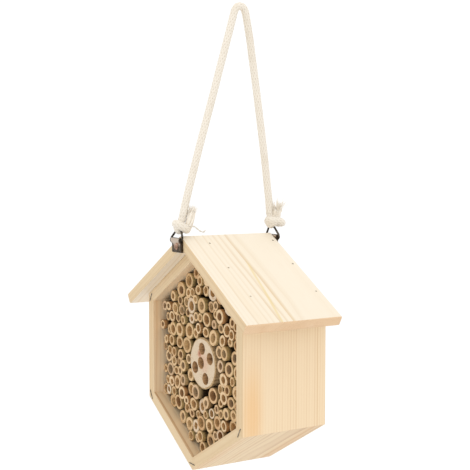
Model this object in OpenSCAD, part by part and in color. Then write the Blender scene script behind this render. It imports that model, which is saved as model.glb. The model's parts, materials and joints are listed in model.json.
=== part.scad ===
// Hanging insect hotel: a hexagonal box of mitred boards under a pitched roof, filled with
// bamboo tubes around a drilled log, and hung by a cotton cord from two triangular rings.
// The origin is the top of the cord's loop, +X is to the right seen from the front,
// +Y runs from the open front to the back, and +Z is up.

/* [House] */
// Side length of the hexagonal frame, which is also its centre-to-corner radius
hex_side = 80; // [60:1:120]
// Depth of the frame boards, front to back
box_depth = 67; // [45:1:110]
// Thickness of the frame boards
board_t = 8; // [5:0.5:12]
// Thickness of the back panel, set into the frame
panel_t = 3; // [2:0.5:6]

/* [Roof] */
// Thickness of the roof boards
roof_t = 7.5; // [5:0.5:12]
// How far the roof's top face runs on down the slope past the frame's upper boards
eave_overhang = 22.5; // [5:0.5:60]
// How far the roof stands out past the open front
roof_overhang = 9; // [0:0.5:25]

/* [Filling] */
// Radius of the drilled log
log_r = 19; // [16:0.5:28]
// Radius of the holes drilled in the log
log_hole_r = 4; // [2.5:0.25:5]
// Depth of the holes drilled in the log
log_hole_depth = 45; // [20:1:50]
// How far the filling sits behind the front edge of the frame
recess = 7; // [3:0.5:15]
// Radius of the thinnest bamboo tube
tube_r_min = 3.4; // [2.5:0.1:4]
// Radius of the thickest bamboo tube
tube_r_max = 6.5; // [5:0.1:7]
// Spacing of the grid that the tubes are pushed apart from
tube_pitch = 9.3; // [9:0.1:13]

/* [Hanging] */
// Height of the top of the cord's loop above the centre of the hexagon
hang_height = 252; // [230:1:300]
// How far the top of the loop lies behind the open front
hang_back = 40; // [20:1:60]
// Radius of the cotton cord
cord_r = 2.75; // [2:0.25:5]
// How far the front hanger sits to the left of the ridge
front_hanger_offset = 2.5; // [0:0.5:6]
// How far the rear hanger sits to the right of the ridge
rear_hanger_offset = 0; // [0:0.5:6]
// Radius of the rings' wire
wire_r = 0.75; // [0.5:0.05:1]
// Height of the ring above its bar
ring_h = 11.2; // [9:0.1:14]
// Width of the folded hanger strap
strap_w = 14; // [9:0.5:14]
// Thickness of the hanger strap's sheet
strap_t = 0.8; // [0.5:0.05:1.2]

/* [Hidden] */

eps = 0.01;
$fn = 48;

// The house's own frame: the centre of the hexagon on the plane of the open front
front_y = -hang_back;
centre_z = -hang_height;

// Hexagon: distances from its centre to the flats and the corners, outside and inside
apothem = hex_side * cos(30);
inner_apothem = apothem - board_t;
inner_side = inner_apothem / cos(30);

// Roof: its ridge above the hexagon's centre, and its ends along Y
roof_pitch = 30;
ridge_z = hex_side + roof_t / cos(roof_pitch);
roof_slope = hex_side + eave_overhang;
roof_depth = roof_overhang + box_depth;

// Filling: the space between the recessed front and the back panel
filling_end = box_depth - panel_t;
log_pos = [4, -2.5];
log_holes = log_r * [[-0.05, 0.55], [0.55, 0.26], [-0.13, 0], [-0.58, -0.24], [0.21, -0.55]];
log_stands_out = 0.5;
tube_gap = 0.1;
grid_step = tube_pitch * sin(60);
grid_reach = ceil(inner_side / grid_step);

// The nodes that hold the tubes: bands across the hexagon, counted from its bottom corner
middle_row = 9;
row_height = inner_side / (middle_row - 0.2);

// Packing: the tubes start on a shaken grid and are pushed off whatever they overlap
wall_margin = 0.75 * tube_r_min;
log_margin = 0.8 * tube_r_min;
shake = 2.2;
size_bias = 1.7;
push_reach = 2.3 * tube_pitch;
push_share = 0.45;
push_steps = 70;
bore_share = [0.46, 0.68];
stands_out = [-1.8, 1.4];
seeds = [41, 7, 12, 5];

// Fasteners
nail_r = 0.6;
nail_head_r = 0.8;
nail_head_h = 0.4;
nail_l = roof_t + 0.75 * board_t;
nail_first = 10;
nail_middle = 0.5;
nail_last = 7;
nail_front = 10;
nail_rear = 4;
staple_w = 9;
staple_wire = 0.9;
staple_crown = 0.5;
staple_leg = 10;
screw_r = 1.2;
screw_l = 16;
screw_head_r = 2.4;
screw_head_h = 1.5;
screw_dome_r = 3.2;
screw_slot = [3, 0.7, 0.5];

// Hangers: the fold of the strap turns round the ring's bar with a running clearance
bar_clearance = 0.1;
fold_in = wire_r + bar_clearance;
fold_r = fold_in + strap_t;
fold_drop = 2.6;
strap_h = 8.8;
screw_drop = 4.6;
fold_z = ridge_z - fold_drop;
front_end_y = -roof_overhang;
rear_end_y = box_depth;
strap_slot = [1.4, 3.6];
slot_out = 4.2;
slot_rise = 1.2;

// Ring: a triangle of wire, its bar longer than the strap at both ends, its corners swollen
// a little where the wire is bent
ring_end = 2.5;
ring_w = strap_w + 2 * ring_end;
bend_r = wire_r + 0.1;

// Cord: knots on the rings, free ends beside the legs, and the legs between the knots
knot_r = 6.8;
knot_start = 5.6;
knot_end = 17.3;
knot_round = 3.2;
end_r = 3.6;
end_l = 17;
end_out = 7.6;
end_sunk = 5;
end_tilt = 8;
cord_sides = 10;
cord_route = [
    [-3.5, -45.5, -148], [-3.4, -43, -138], [-3.2, -40, -127], [-3, -36, -113],
    [-2.8, -32, -99], [-2.5, -28, -85.5], [-2.2, -24, -72], [-1.9, -20, -58.5],
    [-1.6, -16.5, -46], [-1.3, -13, -34], [-1, -10, -23.5], [-0.7, -7.6, -15],
    [-0.4, -5.7, -8], [-0.2, -4.3, -3.4], [-0.1, -2.4, -0.7], [0, 0, 0],
    [0.1, 2.4, -0.7], [0.2, 4.2, -3.4], [0.4, 5.3, -8], [0.7, 6.6, -15],
    [1, 8.2, -24], [1.3, 10, -36], [1.6, 12, -48.5], [1.9, 14, -61.5],
    [2.2, 16, -75], [2.5, 18, -88.5], [2.8, 20, -102.5], [3, 22, -117],
    [3.2, 23.5, -129], [3.4, 24.8, -139], [3.5, 25.5, -147.5]
];
cord_top = 15;
cord_last = len(cord_route) - 1;

wood = "#ecd3a4";
pale_wood = "#f3e0ba";
bamboo = "#cfae78";
steel = "#57504a";
cotton = "#ebe2d4";

function total(v, i = 0, s = [0, 0]) = i == len(v) ? s : total(v, i + 1, s + v[i]);
function unit(v) = v / norm(v);

// ---- the house's frame ----

module in_house() {
    translate([0, front_y, centre_z]) children();
}

// A 2D outline in X and Z, drawn along +Y from y0 for length l
module along_y(y0, l) {
    translate([0, y0 + l, 0]) rotate([90, 0, 0]) linear_extrude(l) children();
}

// Turns the top right side of the hexagon into side k, counted clockwise from the front
module at_side(k) {
    rotate([0, 60 * k, 0]) children();
}

// Outline of the top right frame board, mitred at both ends
module board_outline() {
    polygon([
        [0, hex_side], [apothem, hex_side / 2],
        [inner_apothem, inner_side / 2], [0, inner_side]
    ]);
}

// ---- fasteners ----

// A staple across the mitre of corner k, its crown on the plane y = 0 and its legs along +Y
module staple(k) {
    at_side(k) translate([0, 0, (hex_side + inner_side) / 2]) {
        translate([-staple_w / 2, -staple_crown, -staple_wire / 2])
            cube([staple_w, staple_crown, staple_wire]);
        staple_legs();
    }
}

module staple_legs() {
    for (s = [-1, 1])
        translate([s * (staple_w - staple_wire) / 2 - staple_wire / 2, 0, -staple_wire / 2])
            cube([staple_wire, staple_leg, staple_wire]);
}

module front_legs(k) {
    at_side(k) translate([0, 0, (hex_side + inner_side) / 2]) staple_legs();
}

// The rear staples are the front ones turned to face the other way
module at_rear() {
    translate([0, box_depth, 0]) rotate([0, 0, 180]) children();
}

module corner_staples() {
    for (k = [1:5]) staple(k);
}

module all_leg_holes() {
    for (k = [1:5]) front_legs(k);
    at_rear() for (k = [1:5]) front_legs(k);
}

// The right roof board's top face: its ridge edge is the local Y axis, and +X runs down it
module on_roof() {
    translate([0, 0, ridge_z]) rotate([0, roof_pitch, 0]) children();
}

function nail_places() = [
    for (u = [nail_first, nail_middle * hex_side, hex_side - nail_last])
        for (y = [nail_front, box_depth - nail_rear]) [u, y]
];

module roof_nails() {
    on_roof() for (p = nail_places()) translate([p[0], p[1], 0]) {
        translate([0, 0, -nail_head_h]) cylinder(r = nail_head_r, h = nail_head_h);
        translate([0, 0, -nail_l]) cylinder(r = nail_r, h = nail_l - nail_head_h + eps);
    }
}

// A hanger screw along +Y, with the underside of its head at y = 0
module screw_shank() {
    rotate([-90, 0, 0]) cylinder(r = screw_r, h = screw_l);
}

module hanger_screw() {
    color(steel) {
        screw_shank();
        difference() {
            rotate([90, 0, 0]) rotate_extrude() intersection() {
                translate([0, screw_head_h - screw_dome_r]) circle(screw_dome_r);
                square([screw_head_r, screw_head_h]);
            }
            for (a = [45, 135]) rotate([0, a, 0])
                translate([-screw_slot[0] / 2, -screw_head_h - eps, -screw_slot[2] / 2])
                    cube(screw_slot);
        }
    }
}

// ---- boards ----

module frame_board(k) {
    color(wood) in_house() difference() {
        at_side(k) along_y(0, box_depth) board_outline();
        all_leg_holes();
        if (k == 0) roof_nails();
        if (k == 5) mirror([1, 0, 0]) roof_nails();
    }
}

// The right roof board with its nail holes, mitred at the ridge and cut square at the eave
module roof_board() {
    eave = [roof_slope * cos(roof_pitch), ridge_z - roof_slope * sin(roof_pitch)];
    difference() {
        along_y(front_end_y, roof_depth) polygon([
            [0, ridge_z], eave, eave - roof_t * [sin(roof_pitch), cos(roof_pitch)],
            [0, hex_side]
        ]);
        roof_nails();
    }
}

module roof_right() {
    color(pale_wood) in_house() difference() {
        roof_board();
        hanger_screw_holes();
    }
}

module roof_left() {
    color(pale_wood) in_house() difference() {
        mirror([1, 0, 0]) roof_board();
        hanger_screw_holes();
    }
}

module back_panel() {
    color(pale_wood) in_house() along_y(filling_end, panel_t)
        rotate(30) circle(inner_side, $fn = 6);
}

// ---- the filling ----

module drilled_log() {
    color(pale_wood) in_house() translate([log_pos[0], recess - log_stands_out, log_pos[1]])
        rotate([-90, 0, 0]) difference() {
            cylinder(r = log_r, h = filling_end - recess + log_stands_out);
            for (p = log_holes) translate([p[0], -p[1], -eps])
                cylinder(r = log_hole_r, h = log_hole_depth + eps);
        }
}

// Grid points inside the hexagon and clear of the log, as [x, z]
function grid() = [
    for (j = [-grid_reach:grid_reach]) for (i = [-grid_reach:grid_reach])
        let (p = [tube_pitch * (i + (j % 2 == 0 ? 0 : 0.5)), grid_step * j])
        if (inside(p, wall_margin) && norm(p - log_pos) > log_r + log_margin) p
];

function inside(p, r) =
    max([for (k = [0:5]) p * [cos(60 * k), sin(60 * k)]]) + r < inner_apothem;

// The numbers of the points that lie near each point
function neighbours(p) = [
    for (a = p) [for (b = [0:len(p) - 1]) if (a != p[b] && norm(a - p[b]) < push_reach) b]
];

// Random sizes, more of them thin than thick
function sizes(n) = [
    for (u = rands(0, 1, n, seeds[0]))
        tube_r_min + (tube_r_max - tube_r_min) * pow(u, size_bias)
];

// Moves every tube away from whatever it overlaps: its neighbours, the walls and the log
function settle(p, r, near, steps) = steps == 0 ? p : settle([
    for (a = [0:len(p) - 1])
        let (
            pushes = [
                for (b = near[a])
                    let (d = p[a] - p[b], over = r[a] + r[b] + tube_gap - norm(d))
                    if (over > 0) unit(d) * over * push_share
            ],
            walls = [
                for (k = [0:5])
                    let (
                        n = [cos(60 * k), sin(60 * k)],
                        over = p[a] * n + r[a] + tube_gap - inner_apothem
                    )
                    if (over > 0) -n * over
            ],
            from_log = p[a] - log_pos,
            in_log = max(0, r[a] + log_r + tube_gap - norm(from_log))
        )
        p[a] + total(pushes) + total(walls) + unit(from_log) * in_log
], r, near, steps - 1);

// Trims each radius to what its neighbours, the walls and the log leave free
function trimmed(p, r) = [
    for (a = [0:len(p) - 1])
        let (
            shares = [
                for (b = [0:len(p) - 1])
                    if (b != a) norm(p[a] - p[b]) * r[a] / (r[a] + r[b])
            ],
            to_wall = inner_apothem - max([for (k = [0:5]) p[a] * [cos(60 * k), sin(60 * k)]])
        )
        min(
            r[a], min(shares) - tube_gap / 2, to_wall - tube_gap,
            norm(p[a] - log_pos) - log_r - tube_gap
        )
];

// Every tube as [x, z, radius, bore radius, how far its end stands out, row]
function tubes() =
    let (
        start = grid(),
        n = len(start),
        shift = rands(-shake, shake, 2 * n, seeds[1]),
        first = [for (a = [0:n - 1]) start[a] + [shift[2 * a], shift[2 * a + 1]]],
        wish = sizes(n),
        p = settle(first, wish, neighbours(start), push_steps),
        r = trimmed(p, wish),
        share = rands(bore_share[0], bore_share[1], n, seeds[2]),
        out = rands(stands_out[0], stands_out[1], n, seeds[3])
    )
    [for (a = [0:n - 1])
        [p[a][0], p[a][1], r[a], r[a] * share[a], out[a], row_of(start[a])]];

function row_of(p) =
    middle_row + max(1 - middle_row, min(middle_row - 1, round(p[1] / row_height)));

// The tubes of row k, counted up from the bottom corner
module bamboo_row(k) {
    color(bamboo) in_house() for (t = tubes())
        if (t[5] == k)
            translate([t[0], recess - t[4], t[1]]) rotate([-90, 0, 0]) difference() {
                cylinder(r = t[2], h = filling_end - recess + t[4]);
                translate([0, 0, -eps])
                    cylinder(r = t[3], h = filling_end - recess + t[4] + 2 * eps);
            }
}

// ---- hangers ----

// A hanger's own frame: X along the ring's bar, +Y into the wood from the roof's end face,
// and the origin on the end face at the height of the fold's centre
module at_front_hanger() {
    translate([-front_hanger_offset, front_end_y, fold_z]) children();
}

module at_rear_hanger() {
    translate([rear_hanger_offset, rear_end_y, fold_z]) rotate([0, 0, 180]) children();
}

module screw_shank_hole() {
    translate([0, 0, -screw_drop]) screw_shank();
}

// Either screw may run into the joint of the two roof boards, so both boards are drilled for both
module hanger_screw_holes() {
    at_front_hanger() screw_shank_hole();
    at_rear_hanger() screw_shank_hole();
}

module hanger_strap() {
    color(steel) difference() {
        translate([-strap_w / 2, 0, 0]) rotate([90, 0, 90]) linear_extrude(strap_w) union() {
            translate([-strap_t, -strap_h]) square([strap_t, strap_h]);
            translate([-fold_r, 0]) circle(fold_r);
            translate([-2 * strap_t, -strap_h]) square([strap_t + eps, strap_h - fold_r / 2]);
        }
        translate([-strap_w / 2 - eps, -fold_r, 0]) rotate([0, 90, 0])
            cylinder(r = fold_in, h = strap_w + 2 * eps);
        translate([0, -fold_r, -screw_drop]) rotate([-90, 0, 0])
            cylinder(r = screw_r, h = 2 * fold_r);
        for (s = [-1, 1])
            translate([s * slot_out - strap_slot[0] / 2, -2 * strap_t - eps, slot_rise - strap_h])
                cube([strap_slot[0], 2 * strap_t + 2 * eps, strap_slot[1]]);
    }
}

module front_hanger_strap() {
    in_house() at_front_hanger() hanger_strap();
}

module rear_hanger_strap() {
    in_house() at_rear_hanger() hanger_strap();
}

module front_hanger_screw() {
    in_house() at_front_hanger() translate([0, -2 * strap_t, -screw_drop]) hanger_screw();
}

module rear_hanger_screw() {
    in_house() at_rear_hanger() translate([0, -2 * strap_t, -screw_drop]) hanger_screw();
}

// How far each ring leans in line with its leg of the cord, from upright towards the loop
front_lean = atan2(hang_back + roof_overhang + fold_r, hang_height - fold_z);
rear_lean = atan2(box_depth + fold_r - hang_back, hang_height - fold_z);

// The middle of each knot's flat top, where its leg of the cord comes out
front_top = [
    -front_hanger_offset, front_y + front_end_y - fold_r + knot_end * sin(front_lean),
    centre_z + fold_z + knot_end * cos(front_lean)
];
rear_top = [
    rear_hanger_offset, front_y + rear_end_y + fold_r - knot_end * sin(rear_lean),
    centre_z + fold_z + knot_end * cos(rear_lean)
];

// The ring's own frame: X along its bar, +Z up the ring to the corner that holds the cord
module on_front_ring() {
    in_house() at_front_hanger() translate([0, -fold_r, 0])
        rotate([-front_lean, 0, 0]) children();
}

module on_rear_ring() {
    in_house() at_rear_hanger() translate([0, -fold_r, 0])
        rotate([-rear_lean, 0, 0]) children();
}

// The ring's three corners in its own plane, [x, z]
ring_corners = [[-ring_w / 2, 0], [ring_w / 2, 0], [0, ring_h]];

module ring() {
    color(steel) for (i = [0:2]) {
        p = ring_corners[i];
        side = ring_corners[(i + 1) % 3] - p;
        translate([p[0], 0, p[1]]) {
            sphere(bend_r);
            rotate([0, atan2(side[0], side[1]), 0]) cylinder(r = wire_r, h = norm(side));
        }
    }
}

module front_ring() {
    on_front_ring() ring();
}

module rear_ring() {
    on_rear_ring() ring();
}

// ---- the cord ----

// The knot's outer shape, round its leg, with a flat top that the leg comes out of
module knot() {
    color(cotton) translate([0, 0, knot_start]) rotate_extrude() hull() {
        square([knot_r - knot_round, knot_end - knot_start]);
        for (z = [knot_round, knot_end - knot_start - knot_round])
            translate([knot_r - knot_round, z]) circle(knot_round, $fn = 32);
    }
}

module front_knot() {
    on_front_ring() knot();
}

module rear_knot() {
    on_rear_ring() knot();
}

// The cord's free end, standing up from the knot beside the leg, with its frayed tip
module cord_end(side) {
    color(cotton) translate([0, side * end_out, knot_end - end_sunk])
        rotate([-side * end_tilt, 0, 0]) {
            cylinder(r = end_r, h = end_l - end_r);
            translate([0, 0, end_l - end_r]) sphere(end_r);
        }
}

module front_cord_end() {
    on_front_ring() cord_end(1);
}

module rear_cord_end() {
    on_rear_ring() cord_end(-1);
}

// Point i of the route, each leg stretched in proportion to its depth to end on its knot
function on_route(i) =
    let (
        p = cord_route[i],
        end = i < cord_top ? cord_route[0] : cord_route[cord_last],
        knot_top = i < cord_top ? front_top : rear_top
    )
    p + (knot_top - end) * p[2] / end[2];

// The direction of the cord at point i of its route, square to the knots' tops at its ends
function heading(i) =
    i == 0 ? [0, sin(front_lean), cos(front_lean)] :
    i == cord_last ? [0, sin(rear_lean), -cos(rear_lean)] :
    unit(on_route(i + 1) - on_route(i - 1));

// A ring of points round the cord at point i
function cord_ring(i) =
    let (
        t = heading(i),
        u = unit(cross(t, [1, 0, 0])),
        v = cross(t, u)
    )
    [for (k = [0:cord_sides - 1])
        on_route(i) + cord_r * (u * cos(360 * k / cord_sides) + v * sin(360 * k / cord_sides))];

module cord() {
    points = [for (i = [0:cord_last]) each cord_ring(i)];
    sides = [for (i = [0:cord_last - 1]) for (k = [0:cord_sides - 1])
        let (
            a = i * cord_sides + k,
            b = i * cord_sides + (k + 1) % cord_sides
        )
        each [[a, b, b + cord_sides], [a, b + cord_sides, a + cord_sides]]];
    first = [for (k = [cord_sides - 1:-1:0]) k];
    last = [for (k = [0:cord_sides - 1]) cord_last * cord_sides + k];
    color(cotton) polyhedron(points, concat(sides, [first, last]));
}

frame_board(0);  // board_upper_right
frame_board(1);  // board_right
frame_board(2);  // board_lower_right
frame_board(3);  // board_lower_left
frame_board(4);  // board_left
frame_board(5);  // board_upper_left
roof_left();
roof_right();
back_panel();
color(steel) in_house() corner_staples();  // corner_staples_front
color(steel) in_house() at_rear() corner_staples();  // corner_staples_rear
color(steel) in_house() roof_nails();  // roof_nails_right
color(steel) in_house() mirror([1, 0, 0]) roof_nails();  // roof_nails_left
drilled_log();
bamboo_row(1);  // bamboo_row_1
bamboo_row(2);  // bamboo_row_2
bamboo_row(3);  // bamboo_row_3
bamboo_row(4);  // bamboo_row_4
bamboo_row(5);  // bamboo_row_5
bamboo_row(6);  // bamboo_row_6
bamboo_row(7);  // bamboo_row_7
bamboo_row(8);  // bamboo_row_8
bamboo_row(9);  // bamboo_row_9
bamboo_row(10);  // bamboo_row_10
bamboo_row(11);  // bamboo_row_11
bamboo_row(12);  // bamboo_row_12
bamboo_row(13);  // bamboo_row_13
bamboo_row(14);  // bamboo_row_14
bamboo_row(15);  // bamboo_row_15
bamboo_row(16);  // bamboo_row_16
bamboo_row(17);  // bamboo_row_17
front_hanger_strap();
rear_hanger_strap();
front_hanger_screw();
rear_hanger_screw();
front_ring();
rear_ring();
front_knot();
rear_knot();
front_cord_end();
rear_cord_end();
cord();
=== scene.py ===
import bpy
import bmesh
import json
import math
import random
import numpy as np
from mathutils import Matrix, Vector, noise


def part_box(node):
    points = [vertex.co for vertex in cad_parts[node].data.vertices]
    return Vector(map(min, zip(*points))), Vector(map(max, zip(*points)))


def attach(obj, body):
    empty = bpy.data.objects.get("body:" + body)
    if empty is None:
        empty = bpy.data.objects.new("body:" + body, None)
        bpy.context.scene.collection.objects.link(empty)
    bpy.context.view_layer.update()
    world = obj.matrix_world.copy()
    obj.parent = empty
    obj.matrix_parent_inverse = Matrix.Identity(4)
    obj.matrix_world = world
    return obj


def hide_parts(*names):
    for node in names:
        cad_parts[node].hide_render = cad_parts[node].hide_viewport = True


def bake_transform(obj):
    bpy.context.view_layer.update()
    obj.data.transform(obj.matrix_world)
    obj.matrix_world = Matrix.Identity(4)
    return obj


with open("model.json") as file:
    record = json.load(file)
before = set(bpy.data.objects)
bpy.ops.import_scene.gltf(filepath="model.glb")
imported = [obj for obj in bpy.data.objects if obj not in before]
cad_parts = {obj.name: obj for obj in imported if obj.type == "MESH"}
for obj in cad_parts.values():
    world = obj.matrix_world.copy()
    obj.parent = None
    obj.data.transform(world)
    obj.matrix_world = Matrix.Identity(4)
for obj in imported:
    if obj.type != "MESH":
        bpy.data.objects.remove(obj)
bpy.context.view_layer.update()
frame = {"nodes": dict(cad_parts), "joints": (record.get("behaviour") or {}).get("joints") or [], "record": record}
record = frame["record"]
rng = random.Random(20)
MM = 0.001
COS30, SIN30 = math.cos(math.radians(30)), math.sin(math.radians(30))

# ---- places taken from the frame ----

LOW, HIGH = 0, 1


def joint_place(name):
    return Vector(next(j["pos_m"] for j in frame["joints"] if j["name"] == name))


right_box, left_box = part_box("board_right"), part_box("board_left")
apothem = (right_box[HIGH].x - left_box[LOW].x) / 2
inner_apothem = right_box[LOW].x
side = apothem / COS30
front_y, rear_y = right_box[LOW].y, right_box[HIGH].y
centre_z = (right_box[LOW].z + right_box[HIGH].z) / 2
roof_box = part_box("roof_right")
ridge = roof_box[HIGH].z
slope = roof_box[HIGH].x / COS30
roof_t = (ridge - slope / 2 - roof_box[LOW].z) / COS30
panel_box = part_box("back_panel")
log_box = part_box("drilled_log")
front_pivot, rear_pivot = joint_place("front_ring_pivot"), joint_place("rear_ring_pivot")


def islands(node):
    """The separate solids of a CAD node, each as an array of points."""
    bm = bmesh.new()
    bm.from_mesh(frame["nodes"][node].data)
    bmesh.ops.remove_doubles(bm, verts=bm.verts, dist=1e-6)
    left, found = set(bm.verts), []
    for v in bm.verts:
        if v not in left:
            continue
        left.remove(v)
        solid = [v]
        for a in solid:
            near = {e.other_vert(a) for e in a.link_edges} & left
            left -= near
            solid += near
        found.append(np.array(sorted(tuple(a.co) for a in solid)))
    bm.free()
    return found


# ---- camera ----

EYE = Vector((0.62086, -0.37572, -0.11337))
AHEAD = Vector((-0.8560, 0.5123, -0.0698))
LENS, SENSOR = 76.66, 36
camera = bpy.data.objects.new("camera", bpy.data.cameras.new("camera"))
bpy.context.scene.collection.objects.link(camera)
camera.location = EYE
camera.rotation_euler = AHEAD.to_track_quat("-Z", "Y").to_euler()
camera.data.sensor_width = SENSOR
camera.data.lens = LENS
camera.data.clip_start = 0.01
bpy.context.scene.camera = camera

# ---- mesh helpers ----


def new_mesh(name, materials):
    mesh = bpy.data.meshes.new(name)
    for m in materials:
        mesh.materials.append(m)
    return mesh


def add_object(mesh, body=None, replaces=()):
    """An object for a finished mesh. It rides on a body and stands in for CAD nodes."""
    o = bpy.data.objects.new(mesh.name, mesh)
    bpy.context.scene.collection.objects.link(o)
    if body:
        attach(o, body)
    if replaces:
        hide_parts(*replaces)
    return o


def shade_smooth(mesh):
    mesh.polygons.foreach_set("use_smooth", [True] * len(mesh.polygons))


def write_attribute(mesh, key, values):
    """One number or one vector for each of the mesh's points."""
    values = np.asarray(values, np.float32)
    kind, field = ("FLOAT", "value") if values.ndim == 1 else ("FLOAT_VECTOR", "vector")
    mesh.attributes.new(key, kind, "POINT").data.foreach_set(field, values.ravel())


def piece(name, verts, faces, materials, body, replaces=(), indices=None, attributes=None):
    """A new smooth mesh object. indices gives each face's material."""
    mesh = new_mesh(name, materials)
    mesh.from_pydata([tuple(v) for v in verts], [], faces)
    if indices is not None:
        mesh.polygons.foreach_set("material_index", indices)
    shade_smooth(mesh)
    for key, values in (attributes or {}).items():
        write_attribute(mesh, key, values)
    mesh.validate()
    mesh.update()
    return add_object(mesh, body, replaces)


def sharpen(mesh, angle):
    """Smooth shading that stays crisp where two faces meet at more than the angle."""
    bm = bmesh.new()
    bm.from_mesh(mesh)
    for e in bm.edges:
        if len(e.link_faces) == 2 and e.calc_face_angle(0) > math.radians(angle):
            e.smooth = False
    bm.to_mesh(mesh)
    bm.free()


def soften(bm, edges, offset, segments):
    """Rounds the edges of a bmesh."""
    bmesh.ops.bevel(bm, geom=edges, offset=offset, segments=segments, profile=0.6,
                    affect="EDGES", clamp_overlap=True)


class Parts:
    """Collects several surfaces into one mesh."""

    def __init__(self):
        self.verts, self.faces, self.indices = [], [], []
        self.values = {}

    def add(self, verts, faces, index=0, **values):
        base = len(self.verts)
        self.verts += [tuple(v) for v in verts]
        self.faces += [[i + base for i in f] for f in faces]
        self.indices += [index] * len(faces) if isinstance(index, int) else list(index)
        for key, v in values.items():
            v = [v] * len(verts) if np.isscalar(v) else list(v)
            self.values.setdefault(key, []).extend(v)

    def make(self, name, materials, body, slot, replaces=()):
        return piece(name, self.verts, self.faces, materials, body, replaces,
                     self.indices, self.values)


def loft(rings, cap_first=False, cap_last=False):
    """Faces between rings of points, all with the same number of points."""
    n = len(rings[0])
    verts = [p for ring in rings for p in ring]
    faces = []
    for k in range(len(rings) - 1):
        for i in range(n):
            j = (i + 1) % n
            faces.append([k * n + i, k * n + j, (k + 1) * n + j, (k + 1) * n + i])
    if cap_first:
        faces.append(list(range(n))[::-1])
    if cap_last:
        faces.append([(len(rings) - 1) * n + i for i in range(n)])
    return verts, faces


SPANS = 24


def smooth_path(points, step):
    """A Catmull-Rom curve through the points, resampled at an even step, and its length."""
    p = [Vector(q) for q in points]
    p = [p[0] * 2 - p[1]] + p + [p[-1] * 2 - p[-2]]
    fine = []
    for i in range(1, len(p) - 2):
        for s in range(SPANS):
            t = s / SPANS
            a, b, c, d = p[i - 1], p[i], p[i + 1], p[i + 2]
            fine.append(0.5 * (2 * b + (c - a) * t + (2 * a - 5 * b + 4 * c - d) * t * t
                               + (3 * b - a - 3 * c + d) * t ** 3))
    fine.append(p[-2])
    lengths = [0.0]
    for a, b in zip(fine, fine[1:]):
        lengths.append(lengths[-1] + (b - a).length)
    count = max(4, round(lengths[-1] / step))
    out, k = [], 0
    for i in range(count + 1):
        want = lengths[-1] * i / count
        while k < len(lengths) - 2 and lengths[k + 1] < want:
            k += 1
        t = (want - lengths[k]) / max(lengths[k + 1] - lengths[k], 1e-12)
        out.append(fine[k].lerp(fine[k + 1], min(max(t, 0), 1)))
    return out, lengths[-1]


def frames(path):
    """Directions along a path and two normals that don't twist."""
    n = len(path)
    tangents = [(path[min(i + 1, n - 1)] - path[max(i - 1, 0)]).normalized() for i in range(n)]
    u = tangents[0].orthogonal().normalized()
    out = []
    for i in range(n):
        if i:
            u = tangents[i - 1].rotation_difference(tangents[i]) @ u
            u = (u - tangents[i] * u.dot(tangents[i])).normalized()
        out.append((tangents[i], u, tangents[i].cross(u)))
    return out


def around(u, v, angle):
    """The direction at an angle from u towards v."""
    return u * math.cos(angle) + v * math.sin(angle)


def angles(count):
    return [2 * math.pi * k / count for k in range(count)]


def tube_rings(path, radii, sides):
    """A ring of points round each point of a path."""
    return [[p + r * around(u, v, a) for a in angles(sides)]
            for p, (t, u, v), r in zip(path, frames(path), radii)]


# ---- material helpers ----


def rgb(r, g, b):
    """An sRGB colour, 0 to 255, as the linear one that nodes use."""
    return tuple(((c / 255 + 0.055) / 1.055) ** 2.4 if c > 10 else c / 3295 for c in (r, g, b)) + (1,)


# The Mix node's colour sockets
MIX_A, MIX_B, MIX_OUT = 6, 7, 2


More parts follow.
